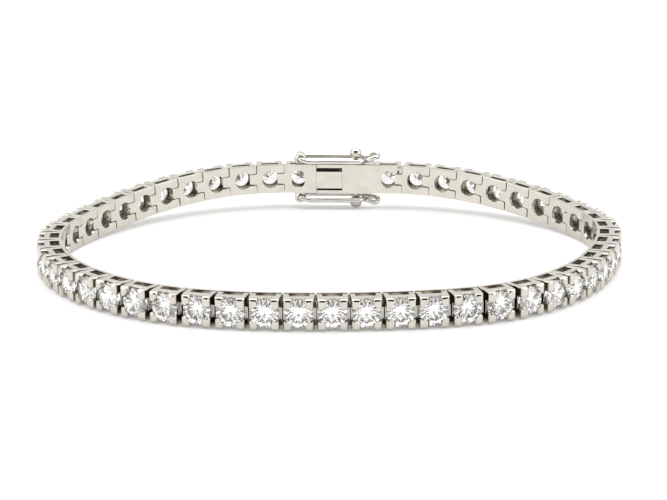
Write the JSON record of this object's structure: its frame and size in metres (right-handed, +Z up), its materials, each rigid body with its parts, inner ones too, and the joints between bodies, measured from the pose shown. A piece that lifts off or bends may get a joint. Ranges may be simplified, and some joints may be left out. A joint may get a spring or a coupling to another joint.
{
  "type": "tennis bracelet",
  "caption": "Closed tennis bracelet: a loop of four-prong links, each set with a round stone, and a box clasp with two swinging safety latches.",
  "frame": {"origin": "centre of the bounding box, on the surface that the bracelet rests on", "axes": "+X along the long way of the loop, with the clasp's box on the +X side of its tongue; +Y from the front links to the clasp; +Z up across the links' width"},
  "size_m": [0.0654, 0.0548, 0.0074],
  "materials": {
    "white_gold": "polished warm white gold",
    "latch_wire": "polished white gold wire",
    "stone": "clear faceted round stone"
  },
  "bodies": {
    "chain": {"chain_segment_1": "white_gold", "chain_segment_2": "white_gold", "chain_segment_3": "white_gold", "chain_segment_4": "white_gold", "chain_segment_5": "white_gold", "chain_segment_6": "white_gold", "chain_segment_7": "white_gold", "chain_segment_8": "white_gold", "clasp_box": "white_gold", "clasp_tongue": "white_gold"},
    "latch_upper": {"safety_latch_upper": "latch_wire"},
    "latch_lower": {"safety_latch_lower": "latch_wire"}
  },
  "joints": [
    {"name": "latch_upper_hinge", "type": "hinge", "parent": "chain", "child": "latch_upper", "pos_m": [-0.00362, 0.02556, 0.00607], "axis": [-0.0568, -0.9984, 0], "range_deg": [0, 120]},
    {"name": "latch_lower_hinge", "type": "hinge", "parent": "chain", "child": "latch_lower", "pos_m": [-0.00362, 0.02556, 0.00137], "axis": [0.0568, 0.9984, 0], "range_deg": [0, 120]}
  ]
}
